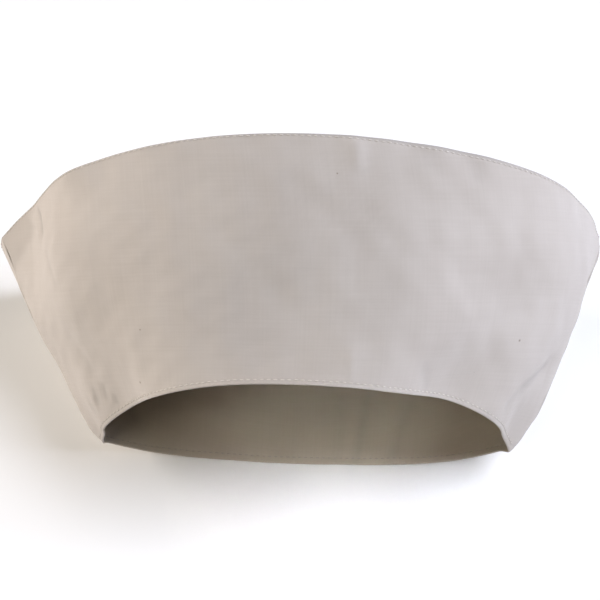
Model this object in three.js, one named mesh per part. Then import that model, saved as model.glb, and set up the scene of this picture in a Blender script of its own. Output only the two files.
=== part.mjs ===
// A flared cap of plain cotton canvas, lying on its back panel.
// Millimetres, +Z up, the surface it lies on at Z = 0. The opening faces -Y and the crown +Y.
// Two wall panels meet at seams on the left and right side, and an oval crown panel closes the top.
import * as THREE from "three";

// The cloth: canvas in two plies, and the gap left at a seam.
const CLOTH = 1.2;
const SEAM_GAP = 0.3;
const CANVAS_COLOUR = "#cfc6bc";
const CANVAS_ROUGHNESS = 0.92;

// The wall's girth at the rim and at the crown seam.
// left, right: how far the side seams stand from the middle. top: height of the front panel's middle.
// waistLeft, waistRight: height of the side seams. frontAt, backAt, leftAt, rightAt: place along Y.
// end, turn: how the cloth runs into the side seam, across and upwards. 1 makes an ellipse,
// less a squarer shoulder, more a sharper one.
const GIRTHS = {
  rim: {
    left: 99.2, right: 106.4, top: 128, waistLeft: 18.6, waistRight: 28,
    frontAt: -7.5, backAt: 9.9, leftAt: 14.1, rightAt: 6.2,
    endLeft: 0.93, endRight: 1.02, turnLeft: 1.21, turnRight: 1.02,
  },
  crown: {
    left: 160.2, right: 152.9, top: 177, waistLeft: 60.8, waistRight: 70.4,
    frontAt: 95.6, backAt: 121, leftAt: 110.6, rightAt: 105.7,
    endLeft: 1.05, endRight: 0.95, turnLeft: 1.23, turnRight: 0.92,
  },
};
const SWELL = { left: 2.1, right: 10.1 }; // how far the sides stand out halfway up

// Where the back panel meets the surface: the share of the way down its turn, and how softly it lands.
const CONTACT = 0.92;
const LANDING = 1.25;

// Dents and folds in the wall, each pressed in along a line over the cloth.
// up: 0 at the rim to 1 at the crown. turn: degrees round from the right seam over the front.
// depth: millimetres pressed in (less than 0 stands out). width: reach to each side of the line.
const FOLDS = [
  { name: "corner tuck", upFrom: 1.02, turnFrom: 157.8, upTo: 0.47, turnTo: 163, depth: 17.7, width: 41 },
  { name: "corner ridge", upFrom: 1.02, turnFrom: 134.4, upTo: 0.8, turnTo: 137, depth: -2.3, width: 12.8 },
  { name: "left lobe", upFrom: 0.71, turnFrom: 145.6, upTo: 0.35, turnTo: 135, depth: -3.8, width: 25.7 },
  { name: "left upper hollow", upFrom: 0.96, turnFrom: 124.6, upTo: 0.7, turnTo: 128, depth: 1.1, width: 22 },
  { name: "shoulder dent", upFrom: 1.02, turnFrom: 22.2, upTo: 0.7, turnTo: 27, depth: 3.6, width: 20 },
  { name: "shoulder ridge", upFrom: 1.02, turnFrom: -7.1, upTo: 0.8, turnTo: 8, depth: -6.7, width: 16 },
  { name: "right side swell", upFrom: 0.84, turnFrom: 6.3, upTo: 0.5, turnTo: 10, depth: -0.6, width: 20 },
  { name: "right hollow", upFrom: 0.44, turnFrom: 43.1, upTo: 0.75, turnTo: 40, depth: 3.3, width: 27.6 },
  { name: "right rim hollow", upFrom: -0.02, turnFrom: 46, upTo: 0.33, turnTo: 57.9, depth: 10.5, width: 33.3 },
  { name: "right rim dent", upFrom: -0.02, turnFrom: 6.9, upTo: 0.5, turnTo: 27, depth: 2.2, width: 17.4 },
  { name: "middle hollow", upFrom: 0.19, turnFrom: 92.2, upTo: 0.7, turnTo: 90, depth: 6.7, width: 40 },
  { name: "left rim dent", upFrom: -0.02, turnFrom: 144.9, upTo: 0.5, turnTo: 152, depth: 4.5, width: 21.9 },
  { name: "left rim swell", upFrom: 0, turnFrom: 158.9, upTo: 0.45, turnTo: 165, depth: -3.6, width: 18 },
  { name: "low right bulge", upFrom: 0.04, turnFrom: 0, upTo: 0.5, turnTo: 2, depth: -4.5, width: 14 },
  { name: "low left bulge", upFrom: 0.09, turnFrom: 178, upTo: 0.4, turnTo: 178, depth: -3, width: 12 },
  { name: "low right crease", upFrom: 0.33, turnFrom: 11, upTo: 0.09, turnTo: 15.5, depth: 1.3, width: 6 },
  { name: "low left ripple", upFrom: 0.37, turnFrom: 154.5, upTo: 0.06, turnTo: 154, depth: 1.2, width: 6 },
  { name: "top streak", upFrom: 1, turnFrom: 80, upTo: 0.8, turnTo: 79, depth: -0.8, width: 6 },
  { name: "top hollow", upFrom: 1, turnFrom: 70, upTo: 0.82, turnTo: 69, depth: 0.9, width: 7 },
  { name: "side hollow", upFrom: 1, turnFrom: 61, upTo: 0.8, turnTo: 60, depth: 0.9, width: 7 },
];
const CLOTH_SPAN = 114; // from rim to crown along the cloth
const TURN_REACH = 2.1; // cloth passed for each degree of turn

// The crown panel: how far its middle sags into the cap.
const CROWN_SAG = 5;

// Fineness of the panels.
const ROWS = 14;
const FRONT_COLUMNS = 54;
const BACK_COLUMNS = 46;
const CROWN_RINGS = 6;
const COLUMN_EASE = 1.5; // more than 1 sets the columns closer in the middle of a panel, where it turns least

const HALF_TURN = Math.PI;
const SAMPLE = 1e-4; // step for reading the slope of the wall

// The girth at any height up the wall.
function girthAt(up) {
  const girth = {};
  for (const column of Object.keys(GIRTHS.rim)) {
    const straight = THREE.MathUtils.lerp(GIRTHS.rim[column], GIRTHS.crown[column], up);
    girth[column] = straight + 4 * up * (1 - up) * (SWELL[column] ?? 0);
  }
  return girth;
}

// How far the folds press the cloth in at one place on the wall.
function foldDepth(up, angle) {
  const fromRight = angle > 1.5 * HALF_TURN ? angle - 2 * HALF_TURN : angle;
  const across = THREE.MathUtils.radToDeg(fromRight) * TURN_REACH;
  const along = up * CLOTH_SPAN;
  let depth = 0;
  for (const fold of FOLDS) {
    const start = new THREE.Vector2(fold.turnFrom * TURN_REACH, fold.upFrom * CLOTH_SPAN);
    const end = new THREE.Vector2(fold.turnTo * TURN_REACH, fold.upTo * CLOTH_SPAN);
    const line = end.clone().sub(start);
    const place = new THREE.Vector2(across, along).sub(start);
    const share = THREE.MathUtils.clamp(place.dot(line) / line.lengthSq(), 0, 1);
    const distance = place.sub(line.clone().multiplyScalar(share)).length();
    const fade = 1 - THREE.MathUtils.smoothstep(share, 0, 1);
    depth += fold.depth * fade * Math.exp(-((distance / fold.width) ** 2));
  }
  return depth;
}

// The wall before it is folded.
// angle runs from the right seam over the front to the left seam, and back below.
function smoothWall(up, angle) {
  const girth = girthAt(up);
  const across = Math.cos(angle);
  const over = Math.sin(angle);
  const rightShare = (1 + across) / 2;
  const mix = (left, right) => THREE.MathUtils.lerp(left, right, rightShare);
  const end = mix(girth.endLeft, girth.endRight);
  const turn = mix(girth.turnLeft, girth.turnRight);
  const waist = mix(girth.waistLeft, girth.waistRight);
  const reach = across > 0 ? girth.right : girth.left;
  const x = reach * Math.sign(across) * Math.abs(across) ** end;
  const above = waist + (girth.top - waist) * Math.abs(over) ** turn;
  const below = waist * Math.max(0, 1 - Math.abs(over) / CONTACT) ** LANDING;
  const z = over > 0 ? above : below;
  const lean = (girth.frontAt - girth.backAt) / 2;
  const arch = (girth.frontAt + girth.backAt - girth.leftAt - girth.rightAt) / 2;
  const y = mix(girth.leftAt, girth.rightAt) + lean * over + arch * over * over;
  return new THREE.Vector3(x, y, z);
}

function outwardAt(up, angle) {
  const alongUp = smoothWall(up + SAMPLE, angle).sub(smoothWall(up - SAMPLE, angle));
  const alongTurn = smoothWall(up, angle + SAMPLE).sub(smoothWall(up, angle - SAMPLE));
  return alongUp.cross(alongTurn).normalize();
}

// A point of the wall, a given depth below its outer face.
function wallPoint(up, angle, depth) {
  const outward = outwardAt(up, angle);
  const outer = smoothWall(up, angle).addScaledVector(outward, -foldDepth(up, angle));
  outer.z = Math.max(0, outer.z);
  return outer.addScaledVector(outward, -depth);
}

// The angle at which the front panel starts above a side seam, and the back panel below it.
function seamAngles(up, side) {
  const girth = girthAt(up);
  const waist = girth["waist" + side];
  const above = Math.asin((SEAM_GAP / 2 / (girth.top - waist)) ** (1 / girth["turn" + side]));
  const below = Math.asin((SEAM_GAP / 2 / waist) * (CONTACT / LANDING));
  return { above, below };
}

// A sheet of cloth as a closed solid, from the grids of its outer and inner face.
function sheetSolid(outer, inner, wrapped) {
  const positions = [];
  const triangle = (a, b, c) => {
    const flat = a.equals(b) || b.equals(c) || c.equals(a);
    if (!flat) positions.push(...a.toArray(), ...b.toArray(), ...c.toArray());
  };
  const quad = (a, b, c, d) => {
    triangle(a, b, c);
    triangle(a, c, d);
  };
  const rows = outer.length;
  const columns = outer[0].length;
  const steps = wrapped ? columns : columns - 1;
  for (let i = 0; i < steps; i++) {
    const next = (i + 1) % columns;
    for (let j = 0; j + 1 < rows; j++) {
      quad(outer[j][i], outer[j + 1][i], outer[j + 1][next], outer[j][next]);
      quad(inner[j][i], inner[j][next], inner[j + 1][next], inner[j + 1][i]);
    }
    quad(outer[0][i], outer[0][next], inner[0][next], inner[0][i]);
    quad(outer[rows - 1][next], outer[rows - 1][i], inner[rows - 1][i], inner[rows - 1][next]);
  }
  if (!wrapped) {
    for (let j = 0; j + 1 < rows; j++) {
      quad(outer[j + 1][0], outer[j][0], inner[j][0], inner[j + 1][0]);
      quad(outer[j][steps], outer[j + 1][steps], inner[j + 1][steps], inner[j][steps]);
    }
  }
  const geometry = new THREE.BufferGeometry();
  geometry.setAttribute("position", new THREE.Float32BufferAttribute(positions, 3));
  geometry.computeVertexNormals();
  return geometry;
}

// The angles of a panel's columns at one height, from one side seam to the other.
function columnAngles(up, columns, spanAt) {
  const [first, last] = spanAt(up);
  return Array.from({ length: columns + 1 }, (_, column) => {
    const fromMiddle = (2 * column) / columns - 1;
    const eased = Math.sign(fromMiddle) * Math.abs(fromMiddle) ** COLUMN_EASE;
    return THREE.MathUtils.lerp(first, last, (1 + eased) / 2);
  });
}

// One face of a wall panel: a row for each height.
function wallFace(columns, spanAt, depth) {
  return Array.from({ length: ROWS + 1 }, (_, row) => {
    const up = row / ROWS;
    return columnAngles(up, columns, spanAt).map((angle) => wallPoint(up, angle, depth));
  });
}

function wallPanel(columns, spanAt) {
  return sheetSolid(wallFace(columns, spanAt, 0), wallFace(columns, spanAt, CLOTH), false);
}

const frontSpan = (up) => [
  seamAngles(up, "Right").above,
  HALF_TURN - seamAngles(up, "Left").above,
];
const backSpan = (up) => [
  HALF_TURN + seamAngles(up, "Left").below,
  2 * HALF_TURN - seamAngles(up, "Right").below,
];

// One face of the crown panel: rings from a line just inside the wall to its middle.
// Its columns stand at the wall's own, so the two edges run side by side.
function crownFace(up) {
  const girth = girthAt(up);
  const lean = (girth.frontAt - girth.backAt) / 2;
  const middle = new THREE.Vector3(
    (girth.right - girth.left) / 2,
    (girth.frontAt + girth.backAt) / 2,
    (girth.top + CLOTH) / 2,
  );
  const angles = [...columnAngles(up, FRONT_COLUMNS, frontSpan), ...columnAngles(up, BACK_COLUMNS, backSpan)];
  return Array.from({ length: CROWN_RINGS + 1 }, (_, ring) => {
    const share = 1 - ring / CROWN_RINGS;
    return angles.map((angle) => {
      const edge = wallPoint(up, angle, CLOTH + SEAM_GAP);
      const point = middle.clone().lerp(edge, share);
      const slope = lean * Math.sin(angle);
      point.y = middle.y + slope * share + (edge.y - middle.y - slope) * share ** 2;
      point.y -= CROWN_SAG * (1 - share ** 2) ** 2;
      return point;
    });
  });
}

function crownPanel() {
  return sheetSolid(crownFace(1), crownFace(1 - CLOTH / CLOTH_SPAN), true);
}

const canvas = new THREE.MeshStandardMaterial({
  color: CANVAS_COLOUR,
  roughness: CANVAS_ROUGHNESS,
  metalness: 0,
});

const pieces = {
  front_panel: wallPanel(FRONT_COLUMNS, frontSpan),
  back_panel: wallPanel(BACK_COLUMNS, backSpan),
  crown_panel: crownPanel(),
};

const bonnet = new THREE.Group();
for (const [name, geometry] of Object.entries(pieces)) {
  const mesh = new THREE.Mesh(geometry, canvas);
  mesh.name = name;
  bonnet.add(mesh);
}

// The origin is the middle of the whole cap's box, on the surface.
const box = new THREE.Box3().setFromObject(bonnet);
const centre = box.getCenter(new THREE.Vector3());
for (const mesh of bonnet.children) mesh.position.set(-centre.x, -centre.y, -box.min.z);

export default bonnet;
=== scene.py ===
import math
from collections import namedtuple

import bpy
import numpy as np
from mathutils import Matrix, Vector


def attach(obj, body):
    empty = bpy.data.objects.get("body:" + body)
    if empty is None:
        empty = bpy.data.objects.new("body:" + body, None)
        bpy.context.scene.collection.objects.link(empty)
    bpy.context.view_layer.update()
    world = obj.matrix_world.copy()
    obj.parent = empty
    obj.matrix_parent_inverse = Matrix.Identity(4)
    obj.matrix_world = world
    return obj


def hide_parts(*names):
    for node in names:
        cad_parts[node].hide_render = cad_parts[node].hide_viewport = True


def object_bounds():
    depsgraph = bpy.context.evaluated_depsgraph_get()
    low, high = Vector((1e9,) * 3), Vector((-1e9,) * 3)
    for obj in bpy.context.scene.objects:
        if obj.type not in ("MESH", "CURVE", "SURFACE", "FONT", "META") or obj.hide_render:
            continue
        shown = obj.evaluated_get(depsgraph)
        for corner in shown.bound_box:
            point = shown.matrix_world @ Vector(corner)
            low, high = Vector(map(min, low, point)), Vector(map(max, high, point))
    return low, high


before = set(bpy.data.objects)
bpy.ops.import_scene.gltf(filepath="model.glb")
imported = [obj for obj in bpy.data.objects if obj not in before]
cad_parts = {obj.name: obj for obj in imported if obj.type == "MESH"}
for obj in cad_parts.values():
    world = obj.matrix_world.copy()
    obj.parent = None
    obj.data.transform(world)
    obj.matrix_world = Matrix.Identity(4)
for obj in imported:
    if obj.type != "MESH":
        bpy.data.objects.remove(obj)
cad_low, cad_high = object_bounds()


# Camera.
# It looks down on the front panel, and past its hem into the opening, from well above the floor.
# All sizes here and below are in metres, apart from the camera's lens and sensor, in millimetres.
CAMERA_RISE = math.radians(60)
CAMERA_DISTANCE = 0.8
CAMERA_TARGET = Vector((0.0011, 0.0388, 0.0243))
SENSOR_WIDTH = 36.0
LENS = 88.26


def placed(name, data):
    """A new object, put into the scene."""
    thing = bpy.data.objects.new(name, data)
    bpy.context.scene.collection.objects.link(thing)
    return thing


def look_along(thing, direction):
    """Turns a camera or a lamp to look along a direction."""
    thing.rotation_mode = "QUATERNION"
    thing.rotation_quaternion = direction.to_track_quat("-Z", "Y")


camera_data = bpy.data.cameras.new("camera")
camera_data.sensor_width = SENSOR_WIDTH
camera_data.lens = LENS
camera = placed("camera", camera_data)
towards_camera = Vector((0, -math.cos(CAMERA_RISE), math.sin(CAMERA_RISE)))
camera.location = CAMERA_TARGET + CAMERA_DISTANCE * towards_camera
look_along(camera, -towards_camera)
bpy.context.scene.camera = camera


# Floor and light.
# A pale matt floor under soft boxes: a warm one low on the left, cooler ones on the right, low and high,
# a weak one in front on the left, and a narrow one that shines into the opening.
FLOOR_SIZE = 6.0
FLOOR_DROP = 0.0002
FLOOR_COLOUR = (0.93, 0.92, 0.9, 1)
FLOOR_ROUGHNESS = 0.9
ROOM_COLOUR = (1.0, 1.0, 1.0, 1)
ROOM_STRENGTH = 0.05

# The spread of a soft box is in degrees, and its power in watts.
SoftBox = namedtuple("SoftBox", "name place aim size spread power colour")
BONNET_MIDDLE = (0, 0.04, 0.05)
OPENING_MIDDLE = (0.02, -0.05, 0)
WIDE = 180
NARROW = 7
SOFT_BOXES = [
    SoftBox("left soft box", (-1.3, 0.3, 0.4), BONNET_MIDDLE, 0.7, WIDE, 17.7, (1.0, 0.935, 0.895)),
    SoftBox("right soft box", (1.35, 0.1, 0.4), BONNET_MIDDLE, 0.7, WIDE, 11.4, (0.76, 0.82, 1.0)),
    SoftBox("high right soft box", (0.75, 0, 1.2), BONNET_MIDDLE, 0.6, WIDE, 17.2, (0.84, 0.88, 1.0)),
    SoftBox("front soft box", (-0.6, -0.6, 1.15), BONNET_MIDDLE, 0.6, WIDE, 4.4, (1.0, 0.935, 0.79)),
    SoftBox("opening light", (0.02, -0.93, 0.88), OPENING_MIDDLE, 0.08, NARROW, 0.0122, (0.95, 1.0, 1.0)),
]


def soft_box(box):
    light = bpy.data.lights.new(box.name, "AREA")
    light.shape = "SQUARE"
    light.size = box.size
    light.spread = math.radians(box.spread)
    light.energy = box.power
    light.color = box.colour
    lamp = placed(box.name, light)
    lamp.location = box.place
    look_along(lamp, Vector(box.aim) - lamp.location)


for box in SOFT_BOXES:
    soft_box(box)

room = bpy.data.worlds.new("room")
room.use_nodes = True
room_light = room.node_tree.nodes["Background"]
room_light.inputs["Color"].default_value = ROOM_COLOUR
room_light.inputs["Strength"].default_value = ROOM_STRENGTH
bpy.context.scene.world = room
bpy.context.scene.view_settings.view_transform = "Standard"

half_floor = FLOOR_SIZE / 2
floor_level = cad_low.z - FLOOR_DROP
floor_sides = [(-1, -1), (1, -1), (1, 1), (-1, 1)]
floor_corners = [(x * half_floor, y * half_floor, floor_level) for x, y in floor_sides]
floor_mesh = bpy.data.meshes.new("floor")
floor_mesh.from_pydata(floor_corners, [], [(0, 1, 2, 3)])
floor_paint = bpy.data.materials.new("pale floor")
floor_paint.use_nodes = True
floor_shader = floor_paint.node_tree.nodes["Principled BSDF"]
floor_shader.inputs["Base Color"].default_value = FLOOR_COLOUR
floor_shader.inputs["Roughness"].default_value = FLOOR_ROUGHNESS
floor_mesh.materials.append(floor_paint)
floor = placed("floor", floor_mesh)


# Front panel.
# The wall panel that faces up: stiff unbleached cotton canvas in two plies, cut as a fan. Its rim is turned
# and topstitched, its upper edge is rolled over the crown seam, and its sides run into the side seams.

# CLOTH is the thickness of the cloth, and CLOTH_SPAN its height from the rim to the crown seam.
CLOTH = 0.0011
SEAM_GAP = 0.0001
CLOTH_SPAN = 0.114

# The wall's girth at the rim and at the crown seam: how far the side seams stand from the middle, the height
# of the front panel's middle and of the side seams, their places along Y, and how the cloth runs into the
# side seams, across (end) and upwards (turn), where 1 makes an ellipse.
Girth = namedtuple(
    "Girth",
    "left right top waist_left waist_right front_at back_at left_at right_at "
    "end_left end_right turn_left turn_right",
)
RIM = Girth(
    left=0.0992, right=0.1064, top=0.128, waist_left=0.0186, waist_right=0.028,
    front_at=-0.0075, back_at=0.0099, left_at=0.0141, right_at=0.0062,
    end_left=0.93, end_right=1.02, turn_left=1.21, turn_right=1.02,
)
CROWN = Girth(
    left=0.1602, right=0.1529, top=0.177, waist_left=0.0608, waist_right=0.0704,
    front_at=0.0956, back_at=0.121, left_at=0.1106, right_at=0.1057,
    end_left=1.05, end_right=0.95, turn_left=1.23, turn_right=0.92,
)

# Half way up, the sides swell out by this much. Below, the wall reaches the floor where the sine of its angle
# is CONTACT, and a higher LANDING eases it down more softly. Slopes are taken over SLOPE_STEP.
SWELL_LEFT = 0.0021
SWELL_RIGHT = 0.0101
CONTACT = 0.92
LANDING = 1.25
SLOPE_STEP = 1e-4

# Dents and folds, each pressed in along a line over the cloth, deepest where the line starts.
# up is 0 at the rim and 1 at the crown seam. turn is in degrees round from the right seam over the front.
# A depth below 0 stands out. One degree of turn is TURN_REACH of cloth.
TURN_REACH = 0.0021
Fold = namedtuple("Fold", "name up_from turn_from up_to turn_to depth width")
FOLDS = [
    Fold("corner tuck", 1.02, 157.8, 0.47, 163, 0.0177, 0.041),
    Fold("corner ridge", 1.02, 134.4, 0.8, 137, -0.0023, 0.0128),
    Fold("left lobe", 0.71, 145.6, 0.35, 135, -0.0038, 0.0257),
    Fold("left upper hollow", 0.96, 124.6, 0.7, 128, 0.0011, 0.022),
    Fold("shoulder dent", 1.02, 22.2, 0.7, 27, 0.0026, 0.02),
    Fold("shoulder ridge", 1.02, -7.1, 0.8, 8, -0.0067, 0.016),
    Fold("right side swell", 0.84, 6.3, 0.5, 10, -0.0006, 0.02),
    Fold("right hollow", 0.44, 43.1, 0.75, 40, 0.0033, 0.0276),
    Fold("right rim hollow", -0.02, 46, 0.33, 57.9, 0.0105, 0.0333),
    Fold("right rim dent", -0.02, 6.9, 0.5, 27, 0.0022, 0.0174),
    Fold("middle hollow", 0.19, 92.2, 0.7, 90, 0.0067, 0.04),
    Fold("left rim dent", -0.02, 144.9, 0.5, 152, 0.0045, 0.0219),
    Fold("left rim swell", 0, 158.9, 0.45, 165, -0.0036, 0.018),
    Fold("low right bulge", 0.04, 0, 0.5, 2, -0.0045, 0.014),
    Fold("low left bulge", 0.09, 178, 0.4, 178, -0.003, 0.012),
    Fold("low right crease", 0.33, 11, 0.09, 15.5, 0.0013, 0.006),
    Fold("low left ripple", 0.37, 154.5, 0.06, 154, 0.0005, 0.006),
    Fold("top streak", 1.0, 80, 0.8, 79, -0.0008, 0.006),
    Fold("top hollow", 1.0, 70, 0.82, 69, 0.0009, 0.007),
    Fold("side hollow", 1.0, 61, 0.8, 60, 0.0009, 0.007),
]

# Finer creases, deepest along their middle and running out at both ends.
CREASES = [
    Fold("corner crease, upper", 0.973, 156, 0.818, 153.5, 0.0007, 0.0020),
    Fold("corner crease, lower", 0.774, 151.6, 0.567, 149, 0.0003, 0.0024),
    Fold("corner valley", 0.938, 161, 0.853, 166.4, 0.0006, 0.0048),
    Fold("corner dent", 0.858, 165.6, 0.873, 178.4, 0.0007, 0.0048),
    Fold("corner lip", 0.968, 159.5, 0.781, 156, -0.0004, 0.0028),
    Fold("left crease, high", 0.279, 152.6, 0.186, 154.4, 0.0003, 0.0032),
    Fold("left crease, long", 0.167, 155.4, 0.082, 156.6, 0.0004, 0.0022),
    Fold("left crease, low", 0.149, 151.4, 0.07, 153, 0.0004, 0.0022),
    Fold("left crease, short", 0.089, 149.4, 0.037, 150.4, 0.0003, 0.0020),
    Fold("left crease, seam", 0.147, 160.4, 0.06, 161.1, 0.0004, 0.0026),
    Fold("left ridge, seam", 0.147, 157.5, 0.062, 158.2, -0.0003, 0.0020),
    Fold("right crease", 0.323, 11.6, 0.134, 22.2, 0.0009, 0.0034),
    Fold("right crease, low", 0.147, 21.4, 0.06, 23.8, 0.0005, 0.0032),
    Fold("right lip", 0.289, 9.2, 0.122, 13.6, -0.0004, 0.0040),
    Fold("hem pucker, middle", 0.015, 76.6, 0.157, 78, -0.0003, 0.0026),
    Fold("hem pucker, right", 0.01, 53.5, 0.137, 59.6, 0.0003, 0.0030),
    Fold("upper streak", 0.99, 79.8, 0.853, 79.5, -0.0007, 0.0030),
    Fold("upper crease", 0.978, 66.6, 0.888, 66.4, 0.0003, 0.0045),
    Fold("upper crease, side", 0.975, 57, 0.871, 57, 0.0003, 0.0045),
    Fold("back ripple", 0.4, -73.5, -0.02, -73.5, 0.0007, 0.0030),
    Fold("back ripple, left", 0.4, -79, -0.02, -79, 0.0005, 0.0040),
    Fold("back ripple, right", 0.4, -62.5, -0.02, -62.5, 0.0005, 0.0035),
]

# The sewn edges. A line of stitches runs close to each edge and pulls the cloth in, and the turned cloth
# swells between the two, at a share of the line's distance from the edge. Right of the middle the upper edge
# is rolled further over, and the stitches lie further from it.
FRONT_HEM_LINE = 0.0022
STITCH_PULL = 0.0001
PULL_REACH = 0.00045
HEM_SWELL = 0.25
HEM_SWELL_AT = 0.55
HEM_SWELL_REACH = 0.4
TOP_LINE = 0.0008
TOP_LINE_ROLLED = 0.0019
ROLL = 0.0002
ROLL_FURTHER = 0.0007
ROLLED_AT = math.radians(62)
ROLLED_REACH = math.radians(26)

# Painted shade: the cloth is painted darker along the creases, and on the rolled upper edge, where shade
# falls.
STEEPEST_CREASE = 1.1
EDGE_SHADE_REACH = 0.0006
EDGE_SHADE_REACH_ROLLED = 0.0014
EDGE_SHADE_SHARE = 0.5

# The soft unevenness of pressed cloth: waves from long to short, each in a direction of its own.
WAVE_COUNT = 18
WAVE_LONGEST = 0.09
WAVE_SHORTEST = 0.011
WAVE_HEIGHT = 0.00012

# Mesh spacing: close steps beside every edge, then even ones.
MILLIMETRE = 0.001
EDGE_STEPS = MILLIMETRE * np.array([
    0, 0.08, 0.2, 0.36, 0.55, 0.8, 1.1, 1.4, 1.7, 2.0, 2.3,
    2.6, 2.9, 3.2, 3.6, 4.0, 4.4, 4.8, 5.3, 6.0, 7.0,
])
ROW_STEP = 0.0017
FRONT_COLUMNS = 400
ARC_SAMPLES = 1200
ARC_EASE = 1.7
SAMPLE_ROWS = 41
SAMPLE_COLUMNS = 721


def girth_at(up):
    swell = 4 * up * (1 - up)
    girth = Girth(*[rim + (crown - rim) * up for rim, crown in zip(RIM, CROWN)])
    return girth._replace(left=girth.left + SWELL_LEFT * swell, right=girth.right + SWELL_RIGHT * swell)


def smooth_wall(up, angle):
    """The wall before it is folded. The angle runs from the right seam over the front, and back below."""
    girth = girth_at(up)
    across, over = np.cos(angle), np.sin(angle)
    right_share = (1 + across) / 2

    def mix(left, right):
        return left + (right - left) * right_share

    reach = np.where(across > 0, girth.right, girth.left)
    x = reach * np.sign(across) * np.abs(across) ** mix(girth.end_left, girth.end_right)
    waist = mix(girth.waist_left, girth.waist_right)
    above = waist + (girth.top - waist) * np.abs(over) ** mix(girth.turn_left, girth.turn_right)
    below = waist * np.maximum(0, 1 - np.abs(over) / CONTACT) ** LANDING
    z = np.where(over > 0, above, below)
    lean = (girth.front_at - girth.back_at) / 2
    arch = (girth.front_at + girth.back_at - girth.left_at - girth.right_at) / 2
    y = mix(girth.left_at, girth.right_at) + lean * over + arch * over**2
    return np.stack(np.broadcast_arrays(x, y, z), axis=-1)


def outward_at(up, angle):
    along_up = smooth_wall(up + SLOPE_STEP, angle) - smooth_wall(up - SLOPE_STEP, angle)
    along_turn = smooth_wall(up, angle + SLOPE_STEP) - smooth_wall(up, angle - SLOPE_STEP)
    outward = np.cross(along_up, along_turn)
    return outward / np.linalg.norm(outward, axis=-1, keepdims=True)


def falloff(distance, reach):
    """1 at no distance, falling away smoothly over the reach."""
    return np.exp(-((distance / reach) ** 2))


def beside_line(place, start, end):
    """Where each place lies along a line, as a share of it, and how far from the line."""
    start = np.array(start)
    way = np.array(end) - start
    share = np.clip((place - start) @ way / (way @ way), 0, 1)
    return share, np.linalg.norm(place - start - share[..., None] * way, axis=-1)


def fade_to_end(share):
    return 1 - share * share * (3 - 2 * share)


def fade_to_both_ends(share):
    return 1 - (2 * share - 1) ** 4


def pressed(place, folds, fade):
    """How far a set of folds presses the cloth in."""
    depth = np.zeros(place.shape[:-1])
    for fold in folds:
        start = (fold.turn_from * TURN_REACH, fold.up_from * CLOTH_SPAN)
        end = (fold.turn_to * TURN_REACH, fold.up_to * CLOTH_SPAN)
        share, distance = beside_line(place, start, end)
        depth += fold.depth * fade(share) * falloff(distance, fold.width)
    return depth


def cloth_place(up, angle):
    """A place on the cloth, along the turn and up from the rim. The last quarter turn counts below 0."""
    turn = np.degrees(np.where(angle > 1.5 * np.pi, angle - 2 * np.pi, angle))
    return np.stack(np.broadcast_arrays(turn * TURN_REACH, up * CLOTH_SPAN), axis=-1)


def fold_depth(up, angle):
    place = cloth_place(up, angle)
    return pressed(place, FOLDS, fade_to_end) + pressed(place, CREASES, fade_to_both_ends)


def wall_point(up, angle, depth):
    """A point of the wall, a given depth below its outer face."""
    outward = outward_at(up, angle)
    point = smooth_wall(up, angle) - outward * fold_depth(up, angle)[..., None]
    point[..., 2] = np.maximum(0, point[..., 2])
    return point - outward * np.asarray(depth)[..., None]


# The wall is worked out about a line of its own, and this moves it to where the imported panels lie.
sample_up, sample_angle = np.meshgrid(
    np.linspace(0, 1, SAMPLE_ROWS),
    np.linspace(0, 2 * np.pi, SAMPLE_COLUMNS),
)
sample_wall = wall_point(sample_up, sample_angle, np.zeros_like(sample_up)).reshape(-1, 3)
wall_middle = (sample_wall.min(axis=0) + sample_wall.max(axis=0)) / 2
wall_shift = np.array((cad_low + cad_high) / 2) - wall_middle


def edge_round(to_edge):
    """How far a cloth edge is rounded off, on either face."""
    radius = CLOTH / 2
    inset = radius - np.minimum(to_edge, radius)
    return radius - np.sqrt(radius**2 - inset**2)


def sewn_edge(to_edge, line):
    """How far a turned and topstitched edge stands out of the cloth, less what its stitches pull in."""
    swell = HEM_SWELL * falloff(to_edge - HEM_SWELL_AT * line, HEM_SWELL_REACH * line)
    return STITCH_PULL * (swell - falloff(to_edge - line, PULL_REACH))


def rolled_share(angle):
    return falloff(angle - ROLLED_AT, ROLLED_REACH)


def top_line(angle):
    """How far below the upper edge its stitches run."""
    return TOP_LINE + (TOP_LINE_ROLLED - TOP_LINE) * rolled_share(angle)


def top_roll(to_top, angle):
    """How far the upper edge is rolled in."""
    roll = ROLL + (ROLL_FURTHER - ROLL) * rolled_share(angle)
    share = np.clip(1 - to_top / top_line(angle), 0, 1)
    return roll * (1 - np.sqrt(1 - share**2))


def painted_shade_share(up, angle):
    """How far painted shade darkens the cloth, from 0 to 1: along the creases and on the rolled upper edge.
    """
    hollows = [crease._replace(depth=crease.depth / crease.width) for crease in CREASES if crease.depth > 0]
    along_creases = pressed(cloth_place(up, angle), hollows, fade_to_both_ends) / STEEPEST_CREASE
    reach = EDGE_SHADE_REACH + (EDGE_SHADE_REACH_ROLLED - EDGE_SHADE_REACH) * rolled_share(angle)
    on_edge = EDGE_SHADE_SHARE * falloff((1 - up) * CLOTH_SPAN, reach)
    return np.clip(along_creases + on_edge, 0, 1)


def cloth_waves(across, along, seed):
    draw = np.random.default_rng(seed)
    height = np.zeros(np.broadcast(across, along).shape)
    for length in np.geomspace(WAVE_LONGEST, WAVE_SHORTEST, WAVE_COUNT):
        heading, phase = draw.uniform(0, 2 * np.pi, 2)
        run = np.cos(heading) * across + np.sin(heading) * along
        height += WAVE_HEIGHT * np.sqrt(length / WAVE_LONGEST) * np.sin(2 * np.pi * run / length + phase)
    return height


# One wall panel: its angles from seam to seam at any height, its columns, its hem's stitch line, and the seed
# of its waves.
Panel = namedtuple("Panel", "name span columns hem_line seed")


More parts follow.
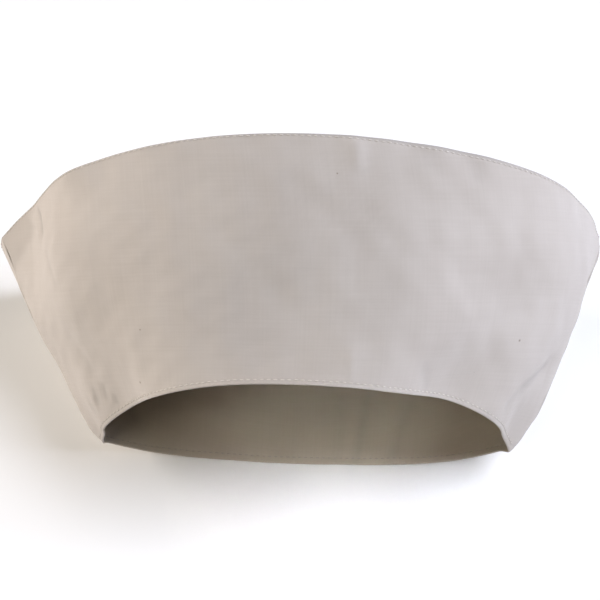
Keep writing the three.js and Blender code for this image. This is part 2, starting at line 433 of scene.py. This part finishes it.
def wall_face(panel, up, angle, to_seam, across, inner):
    """Points of the outer or the inner face of a sewn wall panel."""
    to_rim, to_top = up * CLOTH_SPAN, (1 - up) * CLOTH_SPAN
    to_edge = np.minimum(np.minimum(to_rim, to_top), to_seam)
    relief = sewn_edge(to_rim, panel.hem_line) + sewn_edge(to_top, top_line(angle))
    face = edge_round(np.maximum(to_edge, 0)) - relief
    depth = top_roll(to_top, angle) - cloth_waves(across, to_rim, panel.seed)
    depth = depth + (CLOTH - face if inner else face)
    point = wall_point(up, angle, depth) + wall_shift
    point[..., 2] = np.maximum(point[..., 2], cad_low.z)
    return point


def spaced(length, steps):
    """Distances from one edge to the other: close steps beside both, and even ones between."""
    middle = np.linspace(EDGE_STEPS[-1], length - EDGE_STEPS[-1], steps)
    return np.concatenate([EDGE_STEPS[:-1], middle, length - EDGE_STEPS[-2::-1]])


def seam_angle(up, side, below):
    """The angle between a side seam and the panel's edge beside it."""
    girth = girth_at(up)
    waist = getattr(girth, "waist_" + side)
    if below:
        return math.asin(SEAM_GAP / 2 / waist * CONTACT / LANDING)
    return math.asin((SEAM_GAP / 2 / (girth.top - waist)) ** (1 / getattr(girth, "turn_" + side)))


def row_stations(up, span, steps):
    """Angles along one row of a panel, with their distance from its first seam and the row's length."""
    first, last = span(up)
    from_middle = np.linspace(-1, 1, ARC_SAMPLES)
    eased = np.sign(from_middle) * np.abs(from_middle) ** ARC_EASE
    angles = (first + last) / 2 + (last - first) / 2 * eased
    points = smooth_wall(np.full(ARC_SAMPLES, up), angles)
    run = np.concatenate([[0], np.cumsum(np.linalg.norm(np.diff(points, axis=0), axis=1))])
    stations = spaced(run[-1], steps)
    return np.interp(stations, run, angles), stations, run[-1]


def wall_grid(panel, ups):
    """A panel's rows and columns: up, angle, distance to the nearest seam, place across, row length."""
    rows = [row_stations(up, panel.span, panel.columns) for up in ups]
    angle = np.array([row[0] for row in rows])
    along = np.array([row[1] for row in rows])
    length = np.array([[row[2]] for row in rows])
    up = np.repeat(np.asarray(ups)[:, None], angle.shape[1], axis=1)
    return up, angle, np.minimum(along, length - along), along - length / 2, length


def fan_flat(up, share, rim_length, crown_length):
    """A place on the flat fan that a panel is cut to. The share across it runs from -0.5 to 0.5."""
    fan_angle = (crown_length - rim_length) / CLOTH_SPAN
    radius = rim_length / fan_angle + up * CLOTH_SPAN
    return np.stack([radius * np.sin(share * fan_angle), radius * np.cos(share * fan_angle)], axis=-1)


def cloth_mesh(name, outer, inner, flat, painted_shading):
    """A sheet of cloth as one closed mesh of two grids that share their edge. Its UV map is the flat cut."""
    rows, columns = outer.shape[:2]
    outer_index = np.arange(rows * columns).reshape(rows, columns)
    within = np.zeros((rows, columns), bool)
    within[1:-1, 1:-1] = True
    inner_index = outer_index.copy()
    inner_index[within] = rows * columns + np.arange(within.sum())
    places = np.concatenate([outer.reshape(-1, 3), inner[within]])
    cut = np.concatenate([flat.reshape(-1, 2), flat[within]])

    def quads(index):
        corners = [index[:-1, :-1], index[1:, :-1], index[1:, 1:], index[:-1, 1:]]
        return np.stack(corners, axis=-1).reshape(-1, 4)

    faces = np.concatenate([quads(outer_index), quads(inner_index)[:, ::-1]])
    mesh = bpy.data.meshes.new(name)
    mesh.from_pydata(places.tolist(), [], faces.tolist())
    cut_map = mesh.uv_layers.new(name="cut")
    corner = np.zeros(len(mesh.loops), np.int32)
    mesh.loops.foreach_get("vertex_index", corner)
    cut_map.data.foreach_set("uv", cut[corner].astype(np.float32).ravel())
    inner_ply = (np.arange(len(places)) >= rows * columns).astype(np.float32)
    # the painted shade of the creases and the rolled upper edge, kept as a point attribute
    painted_shade = np.concatenate([painted_shading.ravel(), painted_shading[within]]).astype(np.float32)
    for label, values in (("inner_ply", inner_ply), ("painted_shade", painted_shade)):
        mesh.attributes.new(label, "FLOAT", "POINT").data.foreach_set("value", values)
    mesh.polygons.foreach_set("use_smooth", np.ones(len(mesh.polygons), bool))
    mesh.update()
    return mesh


def wall_panel(panel):
    steps = round((CLOTH_SPAN - 2 * EDGE_STEPS[-1]) / ROW_STEP)
    up, angle, to_seam, across, length = wall_grid(panel, spaced(CLOTH_SPAN, steps) / CLOTH_SPAN)
    outer = wall_face(panel, up, angle, to_seam, across, False)
    inner = wall_face(panel, up, angle, to_seam, across, True)
    flat = fan_flat(up, across / length, length[0, 0], length[-1, 0])
    mesh = cloth_mesh(panel.name, outer, inner, flat, painted_shade_share(up, angle))
    return placed(panel.name, mesh), length


def front_span(up):
    return seam_angle(up, "right", False), math.pi - seam_angle(up, "left", False)


front = Panel("front_canvas", front_span, FRONT_COLUMNS, FRONT_HEM_LINE, seed=3)

# The canvas: a plain weave of slightly uneven threads, with paler and darker slubs and a few seed flecks.
# Inside, the same cloth is painted darker and yellower: painted shade and the warm bounced light of the
# hollow.
CANVAS_COLOUR = (0.53, 0.482, 0.437, 1)
CANVAS_SHADE = (0.45, 0.402, 0.358, 1)
SHADED_INNER_COLOUR = (0.51, 0.444, 0.36, 1)
SHADED_INNER_SLUB_COLOUR = (0.436, 0.378, 0.304, 1)
FLECK_COLOUR = (0.3, 0.25, 0.21, 1)
# The dark colour of the painted shade along the creases and the rolled upper edge, and how strongly it
# darkens the cloth.
PAINTED_SHADE_COLOUR = (0.2, 0.19, 0.18, 1)
PAINTED_SHADE_STRENGTH = 0.8
SMOOTH_ROUGHNESS = 0.86
SLUB_ROUGHNESS = 0.96
CANVAS_SPECULAR = 0.25
CANVAS_SHEEN = 0.12
SHEEN_ROUGHNESS = 0.5

# The weave. THREAD_LEVEL and THREAD_WAVE are how high a thread lies, and how far it goes over and under the
# others, as shares of its height. GAP_SHADE is how much darker the gaps are, up to GAP_HEIGHT.
THREAD_PITCH = 0.0005
THREAD_LEVEL = 0.55
THREAD_WAVE = 0.45
GAP_HEIGHT = 0.5
GAP_SHADE = 0.2
WEAVE_BUMP = 0.4
WEAVE_DEPTH = 0.00018

# Soft clouds and slubs share the tone of the cloth between them, over the part of the noise that is used.
CLOUD_SIZE = 0.05
CLOUD_DETAIL = 5.0
CLOUD_SHARE = 0.64
SLUB_LENGTH = 0.03
SLUB_SCALE = 0.6
SLUB_DETAIL = 2.0
SLUB_SHARE = 0.36
SLUB_HEIGHT = 0.6
NOISE_LOW = 0.3
NOISE_HIGH = 0.7

# Small flecks lie at random, in fewer places the nearer FLECK_RARITY is to 1. The flecks that stand out most
# are listed by their place on the front panel, with a dark core and a soft rim as shares of their radius.
FLECK_SPACING = 0.019
FLECK_SIZE = 0.0004
FLECK_RARITY = 0.72
FLECK_CORE = 0.5
FLECK_RIM = 1.3
Fleck = namedtuple("Fleck", "up turn radius")
FLECKS = [
    Fleck(0.276, 127.7, 0.0004),
    Fleck(0.075, 134.9, 0.0006),
    Fleck(0.843, 83, 0.0004),
    Fleck(0.318, 33, 0.0006),
]


def socket_of(sockets, identifier):
    return next(socket for socket in sockets if socket.identifier == identifier)


class Nodes:
    """A node tree with short calls for adding and joining nodes."""

    def __init__(self, tree):
        self.tree = tree

    def add(self, kind, inputs=(), **settings):
        node = self.tree.nodes.new(kind)
        for setting, value in settings.items():
            setattr(node, setting, value)
        for socket, value in dict(inputs).items():
            self.put(node.inputs[socket], value)
        return node

    def put(self, socket, value):
        if isinstance(value, bpy.types.NodeSocket):
            self.tree.links.new(value, socket)
        else:
            socket.default_value = value

    def maths(self, operation, *values):
        node = self.add("ShaderNodeMath", enumerate(values), operation=operation)
        return node.outputs[0]

    def range(self, value, low, high, to_low, to_high):
        node = self.add("ShaderNodeMapRange", enumerate((value, low, high, to_low, to_high)))
        return node.outputs[0]

    def blend(self, share, low, high):
        node = self.add("ShaderNodeMix", data_type="RGBA")
        for identifier, value in (("Factor_Float", share), ("A_Color", low), ("B_Color", high)):
            self.put(socket_of(node.inputs, identifier), value)
        return socket_of(node.outputs, "Result_Color")


def node_group(name, kind, inputs, outputs):
    tree = bpy.data.node_groups.new(name, kind)
    for label, socket_type in inputs:
        tree.interface.new_socket(label, in_out="INPUT", socket_type=socket_type)
    for label, socket_type in outputs:
        tree.interface.new_socket(label, in_out="OUTPUT", socket_type=socket_type)
    nodes = Nodes(tree)
    return nodes, nodes.add("NodeGroupInput").outputs, nodes.add("NodeGroupOutput").inputs


def plain_weave():
    """Height of the threads of a plain weave over the flat cloth."""
    nodes, given, result = node_group(
        "plain weave",
        "ShaderNodeTree",
        [("Cloth", "NodeSocketVector"), ("Thread Pitch", "NodeSocketFloat")],
        [("Height", "NodeSocketFloat")],
    )
    split = nodes.add("ShaderNodeSeparateXYZ", {0: given["Cloth"]}).outputs
    half_turns = nodes.maths("DIVIDE", math.pi, given["Thread Pitch"])
    warp = nodes.maths("SINE", nodes.maths("MULTIPLY", split["X"], half_turns))
    weft = nodes.maths("SINE", nodes.maths("MULTIPLY", split["Y"], half_turns))
    over = nodes.maths("MULTIPLY", nodes.maths("MULTIPLY", warp, weft), THREAD_WAVE)
    warp_level = nodes.maths("ADD", THREAD_LEVEL, over)
    weft_level = nodes.maths("SUBTRACT", THREAD_LEVEL, over)
    warp_height = nodes.maths("MULTIPLY", nodes.maths("ABSOLUTE", warp), warp_level)
    weft_height = nodes.maths("MULTIPLY", nodes.maths("ABSOLUTE", weft), weft_level)
    nodes.put(result["Height"], nodes.maths("MAXIMUM", warp_height, weft_height))
    return nodes.tree


def cotton_slubs():
    """Where the yarn is thicker and darker, along the threads both ways, and where seed flecks lie."""
    nodes, given, result = node_group(
        "cotton slubs",
        "ShaderNodeTree",
        [
            ("Cloth", "NodeSocketVector"),
            ("Thread Pitch", "NodeSocketFloat"),
            ("Slub Length", "NodeSocketFloat"),
        ],
        [("Slub", "NodeSocketFloat"), ("Fleck", "NodeSocketFloat")],
    )
    split = nodes.add("ShaderNodeSeparateXYZ", {0: given["Cloth"]}).outputs
    streaks = []
    for across, along in (("X", "Y"), ("Y", "X")):
        thread = nodes.maths("DIVIDE", split[across], given["Thread Pitch"])
        run = nodes.maths("DIVIDE", split[along], given["Slub Length"])
        place = nodes.add("ShaderNodeCombineXYZ", {0: thread, 1: run}).outputs[0]
        streak = nodes.add(
            "ShaderNodeTexNoise",
            {"Vector": place, "Scale": SLUB_SCALE, "Detail": SLUB_DETAIL},
        )
        streaks.append(streak.outputs["Fac"])
    nodes.put(result["Slub"], nodes.maths("MULTIPLY", nodes.maths("ADD", *streaks), 1 / len(streaks)))
    seeds = nodes.add("ShaderNodeTexVoronoi", {"Vector": given["Cloth"], "Scale": 1 / FLECK_SPACING})
    chance = nodes.add("ShaderNodeSeparateColor", {0: seeds.outputs["Color"]}).outputs
    size = nodes.maths("MULTIPLY", chance["Green"], FLECK_SIZE / FLECK_SPACING)
    near = nodes.maths("LESS_THAN", seeds.outputs["Distance"], size)
    fleck = nodes.maths("MULTIPLY", near, nodes.maths("GREATER_THAN", chance["Red"], FLECK_RARITY))
    rim_length, crown_length = [row_stations(up, front_span, 2)[2] for up in (0, 1)]
    for seen in FLECKS:
        angles, along, length = row_stations(seen.up, front_span, ARC_SAMPLES)
        share = np.interp(math.radians(seen.turn), angles, along) / length - 0.5
        place = (*fan_flat(seen.up, share, rim_length, crown_length), 0)
        apart = nodes.add("ShaderNodeVectorMath", {0: given["Cloth"], 1: place}, operation="DISTANCE")
        core, rim = FLECK_CORE * seen.radius, FLECK_RIM * seen.radius
        spot = nodes.range(apart.outputs["Value"], core, rim, 1.0, 0.0)
        fleck = nodes.maths("MAXIMUM", fleck, spot)
    nodes.put(result["Fleck"], fleck)
    return nodes.tree


def canvas_material():
    material = bpy.data.materials.new("unbleached canvas")
    material.use_nodes = True
    nodes = Nodes(material.node_tree)
    shader = material.node_tree.nodes["Principled BSDF"]
    cloth = nodes.add("ShaderNodeUVMap", uv_map="cut").outputs["UV"]
    weave = nodes.add(
        "ShaderNodeGroup",
        {"Cloth": cloth, "Thread Pitch": THREAD_PITCH},
        node_tree=plain_weave(),
    )
    slubs = nodes.add(
        "ShaderNodeGroup",
        {"Cloth": cloth, "Thread Pitch": THREAD_PITCH, "Slub Length": SLUB_LENGTH},
        node_tree=cotton_slubs(),
    )
    clouds = nodes.add(
        "ShaderNodeTexNoise",
        {"Vector": cloth, "Scale": 1 / CLOUD_SIZE, "Detail": CLOUD_DETAIL},
    )
    slub = slubs.outputs["Slub"]

    soft = nodes.range(clouds.outputs["Fac"], NOISE_LOW, NOISE_HIGH, 0.0, CLOUD_SHARE)
    fine = nodes.range(slub, NOISE_LOW, NOISE_HIGH, 0.0, SLUB_SHARE)
    tone = nodes.maths("ADD", soft, fine)
    outside = nodes.blend(tone, CANVAS_COLOUR, CANVAS_SHADE)
    # painted shade: the inner ply takes darker, yellower copies of the canvas colours
    inside = nodes.blend(tone, SHADED_INNER_COLOUR, SHADED_INNER_SLUB_COLOUR)
    inner_ply = nodes.add("ShaderNodeAttribute", attribute_name="inner_ply").outputs["Fac"]
    ply = nodes.blend(inner_ply, outside, inside)
    gaps = nodes.range(weave.outputs["Height"], 0.0, GAP_HEIGHT, GAP_SHADE, 0.0)
    woven = nodes.blend(gaps, ply, CANVAS_SHADE)
    # painted shade: the cloth is darkened towards a dark colour along the creases and on the rolled upper
    # edge
    painted_shade = nodes.add("ShaderNodeAttribute", attribute_name="painted_shade").outputs["Fac"]
    painted_shading = nodes.blend(nodes.maths("MULTIPLY", painted_shade, PAINTED_SHADE_STRENGTH), woven, PAINTED_SHADE_COLOUR)
    nodes.put(shader.inputs["Base Color"], nodes.blend(slubs.outputs["Fleck"], painted_shading, FLECK_COLOUR))
    roughness = nodes.range(slub, NOISE_LOW, NOISE_HIGH, SMOOTH_ROUGHNESS, SLUB_ROUGHNESS)
    nodes.put(shader.inputs["Roughness"], roughness)
    shader.inputs["Specular IOR Level"].default_value = CANVAS_SPECULAR
    shader.inputs["Sheen Weight"].default_value = CANVAS_SHEEN
    shader.inputs["Sheen Roughness"].default_value = SHEEN_ROUGHNESS

    thick = nodes.maths("MULTIPLY_ADD", slub, SLUB_HEIGHT, weave.outputs["Height"])
    bump = nodes.add("ShaderNodeBump", {"Height": thick, "Strength": WEAVE_BUMP, "Distance": WEAVE_DEPTH})
    nodes.put(shader.inputs["Normal"], bump.outputs["Normal"])
    return material


canvas = canvas_material()
front_canvas, front_rows = wall_panel(front)
front_canvas.data.materials.append(canvas)
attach(front_canvas, "root")
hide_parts("front_panel")


# Back panel.
# The matching wall panel that the bonnet lies on: the same canvas, flattened where it meets the floor.
# Only its inside shows below the front hem, with a deeper hem than the front panel's.
BACK_COLUMNS = 190
BACK_HEM_LINE = 0.0036


def back_span(up):
    return math.pi + seam_angle(up, "left", True), 2 * math.pi - seam_angle(up, "right", True)


back = Panel("back_canvas", back_span, BACK_COLUMNS, BACK_HEM_LINE, seed=5)
back_canvas, back_rows = wall_panel(back)
back_canvas.data.materials.append(canvas)
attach(back_canvas, "root")
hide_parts("back_panel")


# Crown panel.
# The oval that closes the top: the same canvas, sewn inside the rolled upper edge of the wall. It hangs slack
# inside its seam, with drag lines from its corners. A higher SEAM_HOLD keeps it slack closer to the seam.
CROWN_SAG = 0.005
CROWN_GAP = 0.00012
CROWN_SET_IN = 0.0012
SEAM_HOLD = 6
SEAM_POINTS = 600
CROWN_COLUMNS = 150
CROWN_ROWS = 80
DragLine = namedtuple("DragLine", "name x_from z_from x_to z_to depth width")
DRAG_LINES = [
    DragLine("tuck, upper", -0.140, 0.105, -0.060, 0.120, 0.0022, 0.012),
    DragLine("tuck, lower", -0.142, 0.085, -0.050, 0.070, 0.0024, 0.014),
    DragLine("tuck, ridge", -0.140, 0.095, -0.070, 0.095, -0.0018, 0.009),
    DragLine("right, upper", 0.140, 0.110, 0.060, 0.118, 0.0012, 0.013),
    DragLine("right, lower", 0.142, 0.070, 0.055, 0.060, 0.0014, 0.015),
    DragLine("floor bulge", -0.030, 0.010, 0.030, 0.030, -0.0015, 0.018),
]


def crown_seam():
    """The line round the inside of the wall that the crown is sewn to: its angles and its points."""
    up = 1 - CROWN_SET_IN / CLOTH_SPAN
    angles, points = [], []
    for panel in (front, back):
        angle, along, length = row_stations(up, panel.span, SEAM_POINTS)
        ups = np.full_like(angle, up)
        line = wall_face(panel, ups, angle, np.full_like(angle, CLOTH), along - length / 2, True)
        angles.append(angle)
        points.append(line - CROWN_GAP * outward_at(ups, angle) - wall_shift)
    return np.concatenate(angles), np.concatenate(points)


def crown_face(share, angle, inner):
    """Points of the crown panel: share is 0 at its middle and 1 at its seam."""
    girth = girth_at(1.0)
    seam_angles, seam_points = crown_seam()
    edge = np.stack([np.interp(angle, seam_angles, way, period=2 * np.pi) for way in seam_points.T], axis=-1)
    middle = np.array([
        (girth.right - girth.left) / 2,
        (girth.front_at + girth.back_at) / 2,
        (girth.top + CLOTH) / 2,
    ])
    point = middle + (edge - middle) * share[..., None]
    slope = (girth.front_at - girth.back_at) / 2 * np.sin(angle)
    rise = edge[..., 1] - middle[1]
    point[..., 1] = middle[1] + slope * share + (rise - slope) * share**2
    point[..., 1] -= CROWN_SAG * (1 - share**2) ** 2
    slack = 1 - share**SEAM_HOLD
    place = point[..., [0, 2]]
    for line in DRAG_LINES:
        run, distance = beside_line(place, (line.x_from, line.z_from), (line.x_to, line.z_to))
        point[..., 1] -= slack * line.depth * fade_to_end(run) * falloff(distance, line.width)
    point[..., 1] += slack * cloth_waves(point[..., 0], point[..., 2], seed=7)
    to_edge = (1 - share) * np.linalg.norm(edge - middle, axis=-1)
    face = edge_round(np.maximum(to_edge, 0))
    point[..., 1] -= CLOTH - face if inner else face
    return point + wall_shift


def square_on_disc(columns, rows):
    """An even grid over a disc, as its share of the radius and its angle."""
    girth = girth_at(1.0)
    across = spaced(girth.left + girth.right, columns) * 2 / (girth.left + girth.right) - 1
    upward = spaced(girth.top, rows) * 2 / girth.top - 1
    square_x, square_z = np.meshgrid(across, upward)
    disc_x = square_x * np.sqrt(1 - square_z**2 / 2)
    disc_z = square_z * np.sqrt(1 - square_x**2 / 2)
    return np.minimum(np.hypot(disc_x, disc_z), 1), np.arctan2(disc_z, disc_x) % (2 * np.pi)


crown_share, crown_angle = square_on_disc(CROWN_COLUMNS, CROWN_ROWS)
crown_outer = crown_face(crown_share, crown_angle, False)
crown_inner = crown_face(crown_share, crown_angle, True)
crown_mesh = cloth_mesh(
    "crown_canvas", crown_outer, crown_inner, crown_outer[..., [0, 2]], np.zeros_like(crown_share)
)
crown_canvas = placed("crown_canvas", crown_mesh)
crown_canvas.data.materials.append(canvas)
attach(crown_canvas, "root")
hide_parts("crown_panel")


# Topstitching.
# Plain lockstitch along the hem and the rolled upper edge of both wall panels, in cream cotton thread that is
# painted paler than the cloth, a painted highlight on the stitches. The back hem's thread is painted dark,
# painted shade, as that hem lies inside the bonnet. It lies on the outer and on the inner face, a little sunk
# into the cloth.
STITCH_PITCH = 0.0031
STITCH_LENGTH = 0.0020
STITCH_SHORTEST = 0.88
STITCH_LONGEST = 1.06
STITCH_THICKNESS = 0.00055
STITCH_LIFT = 0.00015
LINE_POINTS = 260
SEAM_CLEAR = 0.005
# The cream thread is painted paler than the cloth as a painted highlight; the back hem's thread is painted
# shade.
HIGHLIT_THREAD_COLOUR = (0.72, 0.67, 0.6, 1)
SHADED_BACK_THREAD_COLOUR = (0.25, 0.21, 0.165, 1)
THREAD_ROUGHNESS = 0.8
FIBRE_SCALE = 2500.0
FIBRE_DETAIL = 2.0
FIBRE_BUMP = 0.4
FIBRE_DEPTH = 0.0001

# Each stitch is a bead of this make, one metre across before it is scaled to the stitch.
BEAD = {"Segments": 8, "Rings": 6, "Radius": 0.5}


def thread_material(name, colour):
    material = bpy.data.materials.new(name)
    material.use_nodes = True
    nodes = Nodes(material.node_tree)
    shader = material.node_tree.nodes["Principled BSDF"]
    place = nodes.add("ShaderNodeTexCoord").outputs["Object"]
    noise = nodes.add(
        "ShaderNodeTexNoise",
        {"Vector": place, "Scale": FIBRE_SCALE, "Detail": FIBRE_DETAIL},
    )
    fibre = noise.outputs["Fac"]
    nodes.put(shader.inputs["Base Color"], nodes.blend(fibre, colour, CANVAS_COLOUR))
    shader.inputs["Roughness"].default_value = THREAD_ROUGHNESS
    bump = nodes.add("ShaderNodeBump", {"Height": fibre, "Strength": FIBRE_BUMP, "Distance": FIBRE_DEPTH})
    nodes.put(shader.inputs["Normal"], bump.outputs["Normal"])
    return material


def topstitch_tree(name, material):
    """Stitches along every line of a mesh: one slim bead of thread for each, laid along the line."""
    nodes, given, result = node_group(
        name,
        "GeometryNodeTree",
        [
            ("Lines", "NodeSocketGeometry"),
            ("Pitch", "NodeSocketFloat"),
            ("Length", "NodeSocketFloat"),
            ("Thickness", "NodeSocketFloat"),
            ("Seed", "NodeSocketInt"),
        ],
        [("Stitches", "NodeSocketGeometry")],
    )
    curve = nodes.add("GeometryNodeMeshToCurve", {"Mesh": given["Lines"]}).outputs["Curve"]
    points = nodes.add(
        "GeometryNodeCurveToPoints",
        {"Curve": curve, "Length": given["Pitch"]},
        mode="LENGTH",
    )
    along = nodes.add("FunctionNodeAlignRotationToVector", {"Vector": points.outputs["Tangent"]}, axis="X")
    bead = nodes.add("GeometryNodeMeshUVSphere", BEAD).outputs["Mesh"]
    unevenness = nodes.add("FunctionNodeRandomValue", {"Seed": given["Seed"]})
    nodes.put(socket_of(unevenness.inputs, "Min_001"), STITCH_SHORTEST)
    nodes.put(socket_of(unevenness.inputs, "Max_001"), STITCH_LONGEST)
    uneven = socket_of(unevenness.outputs, "Value_001")
    length = nodes.maths("MULTIPLY", given["Length"], uneven)
    thickness = given["Thickness"]
    size = nodes.add("ShaderNodeCombineXYZ", {0: length, 1: thickness, 2: thickness}).outputs[0]
    stitches = nodes.add(
        "GeometryNodeInstanceOnPoints",
        {
            "Points": points.outputs["Points"],
            "Instance": bead,
            "Rotation": along.outputs["Rotation"],
            "Scale": size,
        },
    )
    realized = nodes.add("GeometryNodeRealizeInstances", {0: stitches.outputs["Instances"]}).outputs[0]
    smooth = nodes.add("GeometryNodeSetShadeSmooth", {0: realized}).outputs[0]
    dyed = nodes.add("GeometryNodeSetMaterial", {"Geometry": smooth, "Material": material}).outputs[0]
    nodes.put(result["Stitches"], dyed)
    return nodes.tree


def stitch_lines(panel, at_top):
    """The two lines of a seam over a panel, on its outer and its inner face, as lists of points."""
    angles, along, length = row_stations(1.0 if at_top else 0.0, panel.span, LINE_POINTS)
    kept = (along > SEAM_CLEAR) & (along < length - SEAM_CLEAR)
    angles, along = angles[kept], along[kept]
    hem = np.full_like(angles, panel.hem_line / CLOTH_SPAN)
    ups = 1 - top_line(angles) / CLOTH_SPAN if at_top else hem
    to_seam = np.minimum(along, length - along)
    outward = outward_at(ups, angles)
    lines = []
    for inner, lift in ((False, STITCH_LIFT), (True, -STITCH_LIFT)):
        line = wall_face(panel, ups, angles, to_seam, along - length / 2, inner) + outward * lift
        line[:, 2] = np.maximum(line[:, 2], cad_low.z + STITCH_THICKNESS / 2)
        lines.append(line)
    return lines


def stitching(name, lines, tree, seed):
    """One sewn line of stitches on both faces of a panel, as a piece of its own."""
    mesh = bpy.data.meshes.new(name)
    points = np.concatenate(lines)
    edges, first = [], 0
    for line in lines:
        edges += [(i, i + 1) for i in range(first, first + len(line) - 1)]
        first += len(line)
    mesh.from_pydata(points.tolist(), edges, [])
    piece = placed(name, mesh)
    modifier = piece.modifiers.new("topstitch", "NODES")
    modifier.node_group = tree
    sizes = {"Pitch": STITCH_PITCH, "Length": STITCH_LENGTH, "Thickness": STITCH_THICKNESS, "Seed": seed}
    for item in tree.interface.items_tree:
        if item.name in sizes:
            modifier[item.identifier] = sizes[item.name]
    evaluated = piece.evaluated_get(bpy.context.evaluated_depsgraph_get())
    sewn = bpy.data.meshes.new_from_object(evaluated)
    piece.modifiers.clear()
    piece.data = sewn
    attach(piece, "root")
    return piece


# cream thread with a painted highlight, and the back hem's thread darkened as painted shade
front_topstitch = topstitch_tree("front topstitch", thread_material("cream thread, painted highlight", HIGHLIT_THREAD_COLOUR))
back_topstitch = topstitch_tree("back topstitch", thread_material("back thread, painted shade", SHADED_BACK_THREAD_COLOUR))
front_hem = stitching("front_hem_stitches", stitch_lines(front, False), front_topstitch, seed=11)
front_top = stitching("front_top_stitches", stitch_lines(front, True), front_topstitch, seed=12)
back_hem = stitching("back_hem_stitches", stitch_lines(back, False), back_topstitch, seed=13)
back_top = stitching("back_top_stitches", stitch_lines(back, True), front_topstitch, seed=14)
